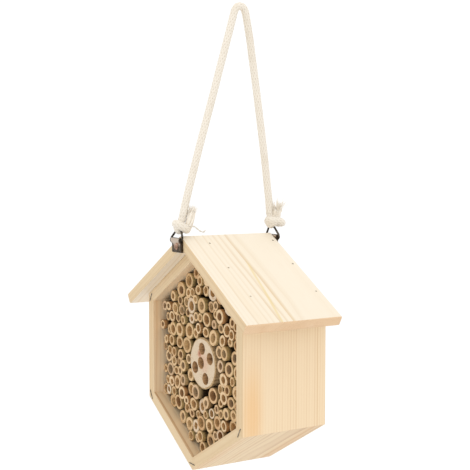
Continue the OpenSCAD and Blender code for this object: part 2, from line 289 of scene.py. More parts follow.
class Graph:
    """A short way to write a material's nodes."""

    def __init__(self, name):
        self.material = bpy.data.materials.new(name)
        self.material.use_nodes = True
        self.nodes = self.material.node_tree.nodes
        self.links = self.material.node_tree.links
        self.shader = self.nodes["Principled BSDF"]

    def add(self, kind, inputs=(), out=0, **settings):
        node = self.nodes.new(kind)
        for key, value in settings.items():
            setattr(node, key, value)
        for key, value in dict(inputs).items():
            self.set(node.inputs[key], value)
        return node.outputs[out]

    def set(self, socket, value):
        if isinstance(value, bpy.types.NodeSocket):
            self.links.new(value, socket)
        else:
            socket.default_value = value

    def attribute(self, name, out="Vector"):
        return self.add("ShaderNodeAttribute", attribute_name=name, out=out)

    def math(self, operation, a, b=0.0, clamp=False):
        return self.add("ShaderNodeMath", {0: a, 1: b}, operation=operation, use_clamp=clamp)

    def vector(self, operation, a, b):
        return self.add("ShaderNodeVectorMath", {0: a, 1: b}, operation=operation)

    def length(self, a):
        return self.add("ShaderNodeVectorMath", {0: a}, out="Value", operation="LENGTH")

    def parts(self, a):
        node = self.nodes.new("ShaderNodeSeparateXYZ")
        self.links.new(a, node.inputs[0])
        return node.outputs

    def join(self, x, y, z):
        return self.add("ShaderNodeCombineXYZ", {0: x, 1: y, 2: z})

    def noise(self, at, scale, detail=2.0, roughness=0.5):
        """Cloudy noise. scale is one number, or one for each axis to stretch it."""
        if not np.isscalar(scale):
            at, scale = self.vector("MULTIPLY", at, scale), 1.0
        return self.add("ShaderNodeTexNoise", {"Vector": at, "Scale": scale, "Detail": detail,
                                               "Roughness": roughness})

    def shift(self, value, noise, amount):
        """The value, moved up or down by half the amount at most, as the noise says."""
        swing = self.math("MULTIPLY", self.math("SUBTRACT", noise, 0.5), amount)
        return self.math("ADD", value, swing)

    def cells(self, at, scale):
        return self.add("ShaderNodeTexVoronoi", {"Vector": at, "Scale": scale}, out="Distance")

    def here(self):
        """The point in the object's own coordinates."""
        return self.add("ShaderNodeTexCoord", out="Object")

    def fade(self, value, low, high, to_low=0.0, to_high=1.0):
        return self.add("ShaderNodeMapRange", {"Value": value, "From Min": low, "From Max": high,
                                               "To Min": to_low, "To Max": to_high},
                        interpolation_type="SMOOTHSTEP")

    def ramp(self, value, stops):
        """Stops hold a place and an sRGB colour, or a place and one number for a grey."""
        node = self.nodes.new("ShaderNodeValToRGB")
        self.links.new(value, node.inputs[0])
        points = node.color_ramp.elements
        while len(points) < len(stops):
            points.new(0.5)
        for point, (place, colour) in zip(points, stops):
            point.position = place
            point.color = (colour,) * 3 + (1,) if np.isscalar(colour) else rgb(*colour)
        return node.outputs[0]

    def mix(self, share, a, b):
        """Colour a with a share of colour b over it. A plain colour is sRGB, 0 to 255."""
        a, b = (rgb(*c) if isinstance(c, tuple) else c for c in (a, b))
        return self.add("ShaderNodeMix", {0: share, MIX_A: a, MIX_B: b}, out=MIX_OUT,
                        data_type="RGBA")

    def over(self, colour, new, value, low, high, to_low=0.0, to_high=1.0):
        """The colour with a new one over it, by a share that changes with the value."""
        return self.mix(self.fade(value, low, high, to_low, to_high), colour, new)

    def bump(self, height, distance, strength):
        return self.add("ShaderNodeBump", {"Height": height, "Distance": distance,
                                           "Strength": strength})

    def finish(self, colour, roughness, normal=None, **sockets):
        self.set(self.shader.inputs["Base Color"], colour)
        self.set(self.shader.inputs["Roughness"], roughness)
        if normal is not None:
            self.set(self.shader.inputs["Normal"], normal)
        for key, value in sockets.items():
            self.shader.inputs[key.replace("_", " ")].default_value = value
        return self.material


# Where a warm stain lies in the right-hand board, in the boards' own wood coordinates
STAIN = (0.648, 0.068, 0)
# Where a resin streak starts in the right-hand roof board, and how it leans across the grain
RESIN = (2.617, -0.0205, 0.127)


def pine(name, pale, late, streak, spacing, contrast, end=False, warp=0.003, resin=None):
    """Planed pine: pale early wood and late wood in rings, with darker streaks. The attribute
    "wood" holds metres along the grain, and across it from the pith. resin is one streak."""
    g = Graph(name)
    wood = g.attribute("wood")
    slow = g.noise(wood, (5, 22, 22), 3)
    quick = g.noise(wood, (22, 160, 160))
    x, y, z = g.parts(wood)
    bent = g.shift(g.length(g.join(0.0, y, z)), slow, warp)
    bent = g.shift(bent, quick, 0.0008)
    ring = g.math("DIVIDE", bent, spacing)
    place = g.math("FRACT", ring)
    number = g.add("ShaderNodeTexWhiteNoise", {"W": g.math("FLOOR", ring)}, noise_dimensions="1D")
    line = g.ramp(place, [(0, 0.1), (0.45, 0.0), (0.8, 0.75), (0.93, 1.0), (1.0, 0.1)])
    strength = g.math("MULTIPLY", g.fade(number, 0, 1, 0.25, 1),
                      g.fade(g.noise(wood, (3, 30, 30)), 0.36, 0.62, 0.35, 1))
    line = g.math("MULTIPLY", g.math("MULTIPLY", line, strength), contrast, clamp=True)
    fibres = g.noise(wood, (2600 if end else 55, 2600, 2600), 3, 0.6)
    colour = g.mix(line, pale, late)
    warm = g.fade(g.noise(g.vector("ADD", wood, (3, 1, 2)), (2.2, 42, 42), 3), 0.56, 0.74)
    colour = g.mix(g.math("MULTIPLY", warm, 0.55), colour, streak)
    stain = g.vector("MULTIPLY", g.vector("SUBTRACT", wood, STAIN), (26, 105, 0))
    stain = g.math("ADD", g.length(stain), g.math("MULTIPLY", slow, 0.8))
    colour = g.over(colour, streak, stain, 0.5, 1.6, 0.6, 0)
    if resin:
        x0, y0, lean = resin
        slanted = g.math("MULTIPLY", g.math("SUBTRACT", x, x0), lean)
        off = g.shift(g.math("ADD", g.math("SUBTRACT", y, y0), slanted), quick, 0.0016)
        streaked = g.math("MULTIPLY", g.fade(g.math("ABSOLUTE", off), 0.0002, 0.0016, 0.6, 0),
                          g.fade(x, x0 - 0.006, x0 + 0.008))
        colour = g.mix(streaked, colour, (222, 198, 134))
    cool = g.fade(g.noise(g.vector("ADD", wood, (7, 3, 5)), (3, 60, 60)), 0.58, 0.8)
    colour = g.mix(g.math("MULTIPLY", cool, 0.3), colour, (240, 228, 208))
    colour = g.over(colour, late, fibres, 0.5, 0.75, 0, 0.15 if end else 0.08)
    if end:
        colour = g.over(colour, late, g.cells(wood, 1900), 0.1, 0.45, 0.35, 0)
    height = g.math("ADD", g.math("MULTIPLY", fibres, 0.7), g.math("MULTIPLY", line, -0.5))
    rough = g.fade(fibres, 0.3, 0.7, 0.46 if not end else 0.68, 0.6 if not end else 0.8)
    return g.finish(colour, rough, g.bump(height, 0.00006 if not end else 0.00014, 0.7),
                    Specular_IOR_Level=0.35)


frame_wood = pine("frame_pine", (236, 212, 177), (214, 176, 128), (232, 184, 124), 0.0021, 0.85)
lower_wood = pine("frame_pine_lower", (224, 200, 163), (180, 132, 84), (208, 160, 106), 0.0030,
                  0.8, warp=0.006)
# Darker pine for the front and rear edges of the boards and the roof: painted shade, since the front faces get
# less light.
shaded_edge_pine = pine("frame_pine_edge_shaded", (216, 192, 154), (190, 152, 108), (206, 172, 124), 0.0021,
                 0.6)
roof_wood = pine("roof_pine", (233, 221, 201), (208, 180, 138), (226, 202, 160), 0.0030, 0.85,
                 warp=0.0055, resin=RESIN)
roof_end = pine("roof_pine_end", (226, 194, 157), (184, 142, 104), (214, 176, 134), 0.0012, 0.45,
                end=True)
ply = pine("back_plywood", (222, 196, 156), (198, 160, 114), (214, 178, 130), 0.0042, 0.5)


def bamboo_skin():
    g = Graph("bamboo_skin")
    at = g.attribute("cane")
    tone = g.attribute("tone", "Fac")
    streaks = g.noise(at, (900, 40, 900), 3)
    colour = g.ramp(tone, [(0, (190, 158, 108)), (0.3, (164, 142, 92)),
                           (0.55, (176, 130, 82)), (0.8, (142, 120, 80)),
                           (1, (196, 168, 122))])
    colour = g.over(colour, (132, 100, 58), streaks, 0.4, 0.75, 0, 0.5)
    colour = g.over(colour, (96, 74, 46), g.noise(at, 260, 3), 0.6, 0.72, 0, 0.45)
    # Painted shade: the skin turns almost black a few millimetres back from the sawn end, where it lies in the
    # shade between the canes.
    colour = g.over(colour, (38, 24, 12), g.attribute("deep", "Fac"), 0.0001, 0.0034, 0, 0.93)
    return g.finish(colour, g.fade(streaks, 0.3, 0.7, 0.35, 0.55),
                    g.bump(streaks, 0.0001, 0.5), Specular_IOR_Level=0.5)


def bamboo_cut():
    """The sawn end: pale ground tissue, dark dots of fibre bundles crowding towards the skin."""
    g = Graph("bamboo_cut")
    at = g.attribute("cane")
    tone = g.attribute("tone", "Fac")
    out = g.attribute("out", "Fac")
    colour = g.ramp(tone, [(0, (222, 190, 146)), (0.35, (208, 174, 128)),
                           (0.6, (226, 198, 158)), (0.85, (196, 156, 110)),
                           (1, (222, 204, 178))])
    colour = g.over(colour, (176, 132, 84), g.noise(at, 420, 3), 0.45, 0.75, 0, 0.6)
    dots = g.cells(at, 2600)
    dots = g.math("MULTIPLY", g.fade(dots, 0.12, 0.34, 1, 0), g.fade(out, 0.15, 0.95, 0.15, 0.8))
    colour = g.mix(dots, colour, (112, 76, 44))
    colour = g.over(colour, (132, 96, 58), out, 0.84, 1.0, 0, 0.85)
    colour = g.over(colour, (140, 98, 58), out, 0.0, 0.14, 0.7, 0)
    saw = g.noise(at, (400, 400, 3200), 3)
    return g.finish(colour, 0.72, g.bump(g.math("ADD", saw, dots), 0.00012, 0.6),
                    Specular_IOR_Level=0.25)


def bamboo_bore():
    g = Graph("bamboo_bore")
    at = g.attribute("cane")
    tone = g.attribute("tone", "Fac")
    deep = g.attribute("deep", "Fac")
    fibres = g.noise(at, (1200, 90, 1200), 4)
    colour = g.ramp(g.math("FRACT", g.math("MULTIPLY", tone, 5.3)),
                    [(0, (206, 166, 112)), (0.3, (182, 142, 92)), (0.55, (216, 182, 130)),
                     (0.78, (168, 144, 112)), (1, (158, 116, 74))])
    colour = g.over(colour, (130, 92, 54), fibres, 0.42, 0.75, 0, 0.5)
    # Painted shade: the bore darkens deeper in, where less light reaches.
    colour = g.over(colour, (84, 56, 30), deep, 0.006, 0.05, 0, 0.7)
    return g.finish(colour, 0.75, g.bump(fibres, 0.00015, 0.7), Specular_IOR_Level=0.25)


def log_face():
    """The log's sawn face, with its growth rings, a pinkish heart, a small knot and saw marks."""
    g = Graph("log_face")
    at = g.attribute("wood")
    x, y, z = g.parts(at)
    flat = g.join(x, 0.0, z)
    warp = g.math("MULTIPLY", g.math("SUBTRACT", g.noise(flat, 90, 3), 0.5), 0.004)
    ring = g.math("DIVIDE", g.math("ADD", g.length(flat), warp), 0.0016)
    line = g.ramp(g.math("FRACT", ring), [(0, 0.0), (0.5, 0.05), (0.85, 0.8), (1.0, 0.1)])
    colour = g.mix(g.math("MULTIPLY", line, 0.22), (214, 196, 170), (180, 142, 104))
    heart = g.math("ADD", g.length(flat), g.math("MULTIPLY", warp, 1.4))
    colour = g.over(colour, (208, 160, 134), heart, 0.002, 0.011, 0.5, 0)
    cracks = g.noise(at, (160, 160, 900), 4)
    colour = g.over(colour, (170, 124, 84), cracks, 0.56, 0.66, 0, 0.3)
    knot = g.length(g.vector("SUBTRACT", flat, (-0.0055, 0, 0.0058)))
    knot = g.math("ADD", knot, g.math("MULTIPLY", warp, 0.35))
    colour = g.over(colour, (186, 124, 98), knot, 0.0008, 0.0038, 0.9, 0)
    colour = g.over(colour, (120, 70, 50), knot, 0.0003, 0.0012, 0.8, 0)
    saw = g.noise(at, (300, 300, 2600), 3)
    fuzz = g.noise(at, 1500, 3)
    colour = g.over(colour, (178, 142, 102), fuzz, 0.45, 0.75, 0, 0.35)
    colour = g.over(colour, (186, 156, 122), saw, 0.5, 0.72, 0, 0.2)
    return g.finish(colour, 0.78, g.bump(g.math("ADD", saw, fuzz), 0.00016, 0.7),
                    Specular_IOR_Level=0.25)


def rough_wood(name, light, dark, scale, distance):
    """Bark, drilled walls and other rough brown wood."""
    g = Graph(name)
    at = g.attribute("wood")
    stretched = g.noise(at, (scale, scale * 0.12, scale), 4)
    patches = g.noise(at, scale * 0.3, 3)
    colour = g.mix(g.fade(stretched, 0.35, 0.7), light, dark)
    colour = g.mix(g.fade(patches, 0.5, 0.75, 0, 0.6), colour, dark)
    return g.finish(colour, 0.85, g.bump(stretched, distance, 0.9), Specular_IOR_Level=0.2)


def metal(name, light, dark, rough, wear=0.5):
    """Dull plated steel with darker tarnish and bright rubbed spots."""
    g = Graph(name)
    tarnish = g.noise(g.here(), 420, 4, 0.6)
    scratches = g.noise(g.here(), (2600, 500, 300))
    colour = g.mix(g.fade(tarnish, 0.38, 0.62), light, dark)
    colour = g.over(colour, (150, 140, 126), scratches, 0.62, 0.75, 0, wear)
    return g.finish(colour, g.fade(tarnish, 0.35, 0.7, rough, rough + 0.22),
                    g.bump(g.math("ADD", scratches, tarnish), 0.00004, 0.5), Metallic=1.0)


def strap_metal():
    """A painted highlight on the fold, and painted shade mixed with tarnish where the attribute "low" is high."""
    g = Graph("strap_steel")
    tarnish = g.noise(g.here(), 420, 4, 0.6)
    scratches = g.noise(g.here(), (2600, 500, 300))
    # The attribute "low" paints shade at the foot, the edges and the top of the fold, and leaves a painted
    # highlight on the fold; tarnish noise is added.
    shade_and_tarnish = g.math("ADD", g.attribute("low", "Fac"), g.math("MULTIPLY", tarnish, 0.5))
    colour = g.mix(g.fade(shade_and_tarnish, 0.45, 0.95), (196, 180, 164), (72, 60, 48))
    colour = g.over(colour, (176, 162, 146), scratches, 0.6, 0.75, 0, 0.4)
    return g.finish(colour, g.fade(tarnish, 0.35, 0.7, 0.32, 0.55),
                    g.bump(g.math("ADD", scratches, tarnish), 0.00004, 0.5), Metallic=1.0)


def cotton(name, tint=1.0):
    """Undyed cotton. "braid" holds the place on a strand, "groove" is 0 between the strands, where shade is
    painted.
    """
    g = Graph(name)
    low = g.attribute("groove", "Fac")
    yarn = g.noise(g.attribute("braid"), (60, 26, 60), 3, 0.6)
    fluff = g.noise(g.here(), 900, 4, 0.65)
    soil = g.noise(g.here(), 60, 2)
    colour = g.mix(g.fade(yarn, 0.35, 0.7), (240 * tint, 233 * tint, 221 * tint),
                   (226 * tint, 215 * tint, 198 * tint))
    # Painted shade in the grooves between the strands.
    colour = g.over(colour, (176, 156, 128), low, 0.0, 0.5, 0.55, 0)
    colour = g.over(colour, (212, 198, 176), soil, 0.5, 0.75, 0, 0.3)
    height = g.math("ADD", g.math("MULTIPLY", yarn, 0.8), g.math("MULTIPLY", fluff, 0.6))
    return g.finish(colour, 0.92, g.bump(height, 0.00025, 0.6), Specular_IOR_Level=0.15,
                    Sheen_Weight=0.35, Sheen_Roughness=0.5)


skin, cut, bore = bamboo_skin(), bamboo_cut(), bamboo_bore()
log_wood = log_face()
bark = rough_wood("log_bark", (196, 168, 126), (146, 116, 80), 700, 0.0004)
drilled = rough_wood("log_drilled", (196, 156, 112), (140, 104, 68), 900, 0.0002)
strap_steel = strap_metal()
plated = metal("hanger_steel", (92, 84, 74), (44, 38, 32), 0.38)
screw_steel = metal("screw_steel", (206, 172, 152), (142, 112, 94), 0.36, 0.3)
bare_steel = metal("bare_steel", (226, 214, 196), (186, 172, 152), 0.5, 0.2)
nail_steel = metal("nail_steel", (196, 182, 160), (140, 124, 102), 0.5)
staple_steel = metal("fastener_steel", (150, 144, 134), (84, 76, 68), 0.36)
cotton_cord = cotton("cotton_cord")
# A lighter tint: painted light, standing in for light passing through the thin fibres.
cotton_fray_lightened = cotton("cotton_fray_lightened", 1.03)
# A darker tint: painted shade for the thin thread.
cotton_thread_shaded = cotton("cotton_thread_shaded", 0.92)

# ---- the cord and its knots ----

CORD_D = 0.0055
ROUTE = [
    (-3.5, -45.5, -148), (-3.4, -43, -138), (-3.2, -40, -127), (-3, -36, -113),
    (-2.8, -32, -99), (-2.5, -28, -85.5), (-2.2, -24, -72), (-1.9, -20, -58.5),
    (-1.6, -16.5, -46), (-1.3, -13, -34), (-1, -10, -23.5), (-0.7, -7.6, -15),
    (-0.4, -5.7, -8), (-0.2, -4.3, -3.4), (-0.1, -2.4, -0.7), (0, 0, 0),
    (0.1, 2.4, -0.7), (0.2, 4.2, -3.4), (0.4, 5.3, -8), (0.7, 6.6, -15),
    (1, 8.2, -24), (1.3, 10, -36), (1.6, 12, -48.5), (1.9, 14, -61.5),
    (2.2, 16, -75), (2.5, 18, -88.5), (2.8, 20, -102.5), (3, 22, -117),
    (3.2, 23.5, -129), (3.4, 24.8, -139), (3.5, 25.5, -147.5),
]
# From a ring's bar up its leg of the cord to the top of the knot
KNOT_TOP = 0.0173
# Strands in each of the braid's two sets, and the radius of a frayed end
CARRIERS, TUFT_R = 8, 0.0024
# The length of one crossing, and the strands' crowns as a share of half the diameter
BRAID_STEP, CROWN = 0.0042, 1.02
# The step of the paths in a knot, and the radius of its turn through the ring
KNOT_STEP, UNDER_R = 0.0005, 0.0024
# The cord's last stretch in each knot, in millimetres up from the ring's bar, with its radii
LEG_STROKE = ([(0, 0, 18.6), (0, 0, 16), (0, 0, 12), (0, 0, 8)], [2.7, 2.7, 2.6])


def braid(path, radii, step, sides, relief):
    """A braided cord along a path: two sets of strands that cross over and under each other.
    step is the length of one crossing. Returns the surface and its braid and groove values."""
    along = 0.0
    rings, coords, grooves = [], [], []
    for i, (p, (t, u, v)) in enumerate(zip(path, frames(path))):
        if i:
            along += (p - path[i - 1]).length / step
        ring = []
        for k in range(sides):
            turn = k / sides
            a, b = turn * CARRIERS + along, turn * CARRIERS - along
            fa, fb = a % 1, b % 1
            over = (math.floor(a) + math.floor(b)) % 2
            across, down = (fa, fb) if over else (fb, fa)
            h = math.sin(math.pi * across) ** 0.7 * math.sin(math.pi * down) ** 0.45
            ring.append(p + (radii[i] - relief * (1 - h)) * around(u, v, 2 * math.pi * turn))
            coords.append((across * 0.5 + over * 3, (a + b if over else a - b) * 0.25, along * 0.2))
            grooves.append(h)
        rings.append(ring)
    verts, faces = loft(rings, True, True)
    return verts, faces, coords, grooves


class Cords(Parts):
    """Cotton surfaces, each with its braid coordinates."""

    def cord(self, path, radii, step, sides, relief):
        verts, faces, coords, grooves = braid(path, radii, step, sides, relief)
        self.add(verts, faces, 0, groove=grooves, braid=coords)

    def thread(self, path, radii, index, sides):
        verts, faces = loft(tube_rings(path, radii, sides), True, True)
        seed = rng.random() * 9
        self.add(verts, faces, index, groove=1.0,
                 braid=[(seed + i % sides * 0.2, i // sides * 0.15, seed) for i in range(len(verts))])


def tuft(cords, base, ahead, spread, count, length, thick, curl, lean, rngs):
    """Yarns and fibres fanning out of a cut end, leaning to one side by up to lean."""
    u = ahead.orthogonal().normalized()
    v = ahead.cross(u)
    for _ in range(count):
        angle = rngs.uniform(0, 2 * math.pi)
        reach = math.sqrt(rngs.random())
        start = base + around(u, v, angle) * reach * TUFT_R
        aim = (ahead + around(u, v, angle) * spread * reach + lean
               * rngs.uniform(0.2, 1)).normalized()
        far = length * rngs.uniform(0.55, 1.1)
        bend = Vector([rngs.uniform(-1, 1) for _ in range(3)]) * curl
        points = [start - ahead * 0.002, start + aim * far * 0.25,
                  start + aim * far * 0.6 + bend * 0.4, start + aim * far + bend]
        path, _ = smooth_path(points, far / 7)
        r = thick * rngs.uniform(0.6, 1.2)
        cords.thread(path, [r * (1 - 0.55 * (i / (len(path) - 1)) ** 2) for i in range(len(path))],
                     1, 5)


def leg_direction(pivot):
    """From a ring's bar towards the top of the cord, seen from the side."""
    return Vector((0, -pivot.y, -pivot.z)).normalized()


def fitted_route():
    """The route, its two ends moved on to the tops of the knots and the rest moved in step."""
    points = [Vector(p) * MM for p in ROUTE]
    middle = max(range(len(points)), key=lambda i: points[i].z)
    out = []
    for i, p in enumerate(points):
        pivot, end = (front_pivot, points[0]) if i < middle else (rear_pivot, points[-1])
        move = pivot + leg_direction(pivot) * KNOT_TOP - end
        out.append(p + move * (p.z / end.z))
    return out


route_points = fitted_route()
line, cord_length = smooth_path(route_points, 0.0006)
legs = Cords()
legs.cord(line, [CORD_D / 2 * CROWN] * len(line), BRAID_STEP, sides=40, relief=0.00026)
cord = legs.make("hanging_cord", [cotton_cord], None, "cotton_cord", ["cord"])
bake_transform(cord)


def hanger_frame(pivot, turned):
    """From a ring's own frame, in millimetres, to the row frame. Z runs up the leg of the cord."""
    up = leg_direction(pivot)
    x = Vector((-1, 0, 0)) if turned else Vector((1, 0, 0))
    y = up.cross(x)
    return Matrix((
        (x.x * MM, y.x * MM, up.x * MM, pivot.x), (x.y * MM, y.y * MM, up.y * MM, pivot.y),
        (x.z * MM, y.z * MM, up.z * MM, pivot.z), (0, 0, 0, 1)))


front_ring_frame = hanger_frame(front_pivot, False)
rear_ring_frame = hanger_frame(rear_pivot, True)


def band(middle, reach, tilt, first, last, height):
    """A turn of the cord round its own leg: (right, near, up), with angles in degrees."""
    out = []
    for i in range(25):
        a = math.radians(first + (last - first) * i / 24)
        out.append((middle + reach * math.cos(a), reach * 0.95 * math.sin(a),
                    height - tilt * math.cos(a)))
    return out


def loose_tail(cords, points, low, high, count, wave, rngs):
    """The opened end of the cord: wavy yarns side by side round a soft core. low and high are the
    radii at its two ends."""
    axes = frames(points)
    n = len(points)
    core = points[:max(int(n * 0.8), 8)]
    cords.cord(core, [(low + (high - low) * i / n) * 0.74 for i in range(len(core))],
               BRAID_STEP, sides=28, relief=0.0002)
    for _ in range(count):
        angle, reach = rngs.uniform(0, 2 * math.pi), math.sqrt(rngs.uniform(0.4, 1))
        phase, thick = rngs.uniform(0, 6.28), rngs.uniform(0.00042, 0.0007)
        last = int(n * rngs.uniform(0.74, 1.0))
        spots = []
        for i in range(0, last, 3):
            share = i / n
            a = angle + 0.3 * math.sin(share * 6 + phase) + 0.7 * share
            r = (low + (high - low) * share ** 1.5) * reach * 0.86
            r += wave * math.sin(share * 15 + phase) * share
            t, u, v = axes[i]
            spots.append(points[i] + around(u, v, a) * r)
        path, _ = smooth_path(spots, 0.0007)
        m = len(path) - 1
        cords.thread(path, [thick * (1 - 0.5 * (i / m) ** 6) for i in range(m + 1)], 1, 7)


def knot(name, place, turned, strokes, under, tail, ends, fray, node, thread, body, seed):
    """A tied knot with its free end, in millimetres. Points are (right, near, up) as the camera
    sees them, from the ring's bar. Strokes are paths of cord with radii along them. under is the
    height of the turn through the ring. ends holds the tail's first and last radius, its yarns
    and their wave. A row of fray is a count, spread, length, thickness, curl and lean."""
    rngs = random.Random(seed)
    cords = Cords()
    facing = -1 if turned else 1

    def seen(p):
        right, near, up = p
        return place @ Vector((facing * (0.51 * right + 0.86 * near),
                               facing * (0.86 * right - 0.51 * near), up))

    half = [(0, under), (2.0, under + 1.5), (2.8, under + 3.6), (2.9, under + 5)]
    loop = [(0, -y, z) for y, z in half[:0:-1]] + [(0, y, z) for y, z in half]
    loop, _ = smooth_path([place @ Vector(p) for p in loop], KNOT_STEP)
    cords.cord(loop, [UNDER_R] * len(loop), step=0.0038, sides=32, relief=0.0003)
    for path, radii in strokes:
        points, _ = smooth_path([seen(p) for p in path], KNOT_STEP)
        spots = np.linspace(0, 1, len(radii))
        sizes = [float(r) * MM for r in np.interp(np.linspace(0, 1, len(points)), spots, radii)]
        cords.cord(points, sizes, step=0.0040, sides=40, relief=0.0003)
    points, _ = smooth_path([seen(p) for p in tail], KNOT_STEP)
    low, high, count, wave = ends
    loose_tail(cords, points, low * MM, high * MM, count, wave * MM, rngs)
    ahead = (points[-1] - points[-6]).normalized()
    for count, spread, length, thick, curl, lean in fray:
        lean = (seen(lean) - seen((0, 0, 0))) / MM
        tuft(cords, points[-1] - ahead * 0.0025, ahead, spread, count, length * MM, thick * MM,
             curl * MM, lean, rngs)
    if thread:
        path, _ = smooth_path([seen(p) for p in thread], 0.0004)
        cords.thread(path, [0.00062 * (0.75 + 0.25 * math.sin(i * 0.9))
                            for i in range(len(path))], 2, 7)
    return cords.make(name, [cotton_cord, cotton_fray_lightened, cotton_thread_shaded], body, "cotton_cord", node)


front_knot = knot(
    "front_knot_and_tail", front_ring_frame, False,
    strokes=[LEG_STROKE,
             (band(0.9, 4.2, 1.0, -110, 262, 9.9), [2.5, 3.0, 3.1, 3.0, 2.5])],
    under=6.4,
    tail=[(5.0, 0.2, 9.2), (5.6, 0.1, 11.5), (5.6, 0.2, 15), (5.4, 0.3, 19), (5.3, 0.3, 23.4)],
    ends=(2.7, 3.4, 40, 0.3),
    fray=[(16, 0.14, 4.4, 0.4, 0.7, (0, 0, 0)), (60, 0.36, 5.6, 0.11, 1.6, (0.02, 0, 0))],
    thread=[(6.2, 2.4, 11.4), (9.8, 3.0, 12.0), (12.8, 3.0, 10.8), (15.2, 3.0, 9.9),
            (16.8, 2.8, 9.9), (17.7, 2.7, 10.8), (17.9, 2.6, 11.8)],
    node=["front_knot", "front_cord_end"], body="front_hanger", seed=3)
rear_knot = knot(
    "rear_knot_and_tail", rear_ring_frame, True,
    strokes=[LEG_STROKE,
             (band(1.9, 3.3, 0.8, -110, 262, 12.0), [2.5, 2.9, 3.0, 2.9, 2.5]),
             (band(2.4, 2.6, -1.2, 60, 330, 10.2), [2.5, 2.8, 2.8, 2.6]),
             ([(3.5, -3.0, 8.8), (6.6, -1.6, 8.6), (8.0, 0.6, 9.0), (6.8, 2.8, 10.6),
               (3.6, 3.4, 12.4)], [2.5, 2.8, 2.8, 2.4])],
    under=8.1,
    tail=[(3.2, -0.4, 11.5), (4.6, -0.2, 14.5), (5.6, 0, 18), (6.2, 0.1, 21.5)],
    ends=(2.7, 4.4, 40, 0.6),
    fray=[(26, 0.8, 6.5, 0.36, 1.6, (0.06, 0, 0)), (60, 1.2, 8.5, 0.11, 2.6, (0.1, 0, 0))],
    node=["rear_knot", "rear_cord_end"], thread=None, body="rear_hanger", seed=8)


def node_points(node):
    return np.array([v.co for v in frame["nodes"][node].data.vertices])


# The ring's height, the radius of its wire and of the wire's bends, and how far the CAD ring's
# outside lies past the triangle's corner, in millimetres
RING_H, WIRE_R, RING_BEND, RING_CORNER = 11.2, 0.75, 1.3, 0.85
WIRE_SIDES = 14


def wire_triangle(place, body, name, node):
    """The ring: a triangle of wire with round bends, closed at the middle of its bar."""
    points = node_points(node)
    half = (points[:, 0].max() - points[:, 0].min()) / 2 / MM - RING_CORNER
    corners = [Vector((-half, 0, 0)), Vector((0, 0, RING_H)), Vector((half, 0, 0))]
    path = [Vector((0, 0, 0))]
    for i, c in enumerate(corners):
        before = path[0] if i == 0 else corners[i - 1]
        after = corners[i + 1] if i < 2 else path[0]
        a, b = (before - c).normalized(), (after - c).normalized()
        half_turn = a.angle(b) / 2
        cut = RING_BEND / math.tan(half_turn)
        middle = c + (a + b).normalized() * RING_BEND / math.sin(half_turn)
        first, last = c + a * cut - middle, c + b * cut - middle
        path += [middle + first.slerp(last, s / 8).normalized() * RING_BEND for s in range(9)]
    path.append(Vector((0, 0, 0)))
    fine = []
    for a, b in zip(path, path[1:]):
        count = max(1, round((b - a).length / 0.8))
        fine += [place @ a.lerp(b, s / count) for s in range(count)]
    n = WIRE_SIDES
    rings = tube_rings(fine, [WIRE_R * MM] * len(fine), n)
    verts, faces = loft(rings)
    last = (len(rings) - 1) * n
    start = min(range(n), key=lambda s: (rings[-1][0] - rings[0][s]).length)
    faces += [[last + i, last + (i + 1) % n, (start + i + 1) % n, (start + i) % n]
              for i in range(n)]
    piece(name, verts, faces, [plated], body, [node])


wire_triangle(front_ring_frame, "front_hanger", "front_wire_ring", "front_ring")
wire_triangle(rear_ring_frame, "rear_hanger", "rear_wire_ring", "rear_ring")

# ---- boards ----

# How far a board's arrises are rounded, and those where two boards meet
ARRIS, JOINT_ARRIS = 0.0006, 0.00025
# How far a face turns towards the grain or the front before it counts as an end or an edge
END_SLOPE, EDGE_SLOPE = 0.45, 0.6


def turned(x, z, k):
    """A direction in X and Z on the hexagon's upper right side, turned to side k."""
    a = math.radians(60 * k)
    return x * math.cos(a) + z * math.sin(a), -x * math.sin(a) + z * math.cos(a)


def plank(name, outline, y0, y1, along, out, pith, node, materials, soft=ARRIS,
          joints=(), offset=0.0):
    """A board: an outline in X and Z, drawn from y0 to y1, its arrises rounded. along and out are
    the grain's direction and the face's normal in X and Z, pith the middle of its growth rings.
    joints are the outline's edges that meet another board, offset is a place along the grain.
    The materials are for the faces, the sawn ends, and the front and rear edges."""
    bm = bmesh.new()
    near = [bm.verts.new((x, y0, z)) for x, z in outline]
    far = [bm.verts.new((x, y1, z)) for x, z in outline]
    n = len(outline)
    bm.faces.new(near)
    bm.faces.new(far[::-1])
    for i in range(n):
        bm.faces.new((near[(i + 1) % n], near[i], far[i], far[(i + 1) % n]))
    bmesh.ops.recalc_face_normals(bm, faces=bm.faces)
    tight = []
    for i in joints:
        a, b = near[i], near[(i + 1) % n]
        c, d = far[i], far[(i + 1) % n]
        tight += [e for e in bm.edges if set(e.verts) in ({a, b}, {c, d}, {a, c}, {b, d})]
    loose = [e for e in bm.edges if e not in tight]
    soften(bm, loose, soft, 3)
    tight = [e for e in tight if e.is_valid]
    if tight:
        soften(bm, tight, JOINT_ARRIS, 1)
    along = Vector((along[0], 0, along[1]))
    out = Vector((out[0], 0, out[1]))
    mesh = new_mesh(name, materials)
    for f in bm.faces:
        is_end, is_edge = abs(f.normal.dot(along)) > END_SLOPE, abs(f.normal.y) > EDGE_SLOPE
        f.material_index = 1 if is_end else 2 if is_edge else 0
        f.smooth = False
    bm.to_mesh(mesh)
    bm.free()
    co = np.array([v.co for v in mesh.vertices])
    write_attribute(mesh, "wood", np.stack([
        co @ np.array(along) + offset, co[:, 1] - pith[0], co @ np.array(out) - pith[1]], 1))
    add_object(mesh, "house", [node])


inner_side = inner_apothem / COS30
BOARD = [(0, side), (apothem, side / 2), (inner_apothem, inner_side / 2), (0, inner_side)]
BOARD_NAMES = ["board_upper_right", "board_right", "board_lower_right", "board_lower_left",
               "board_left", "board_upper_left"]
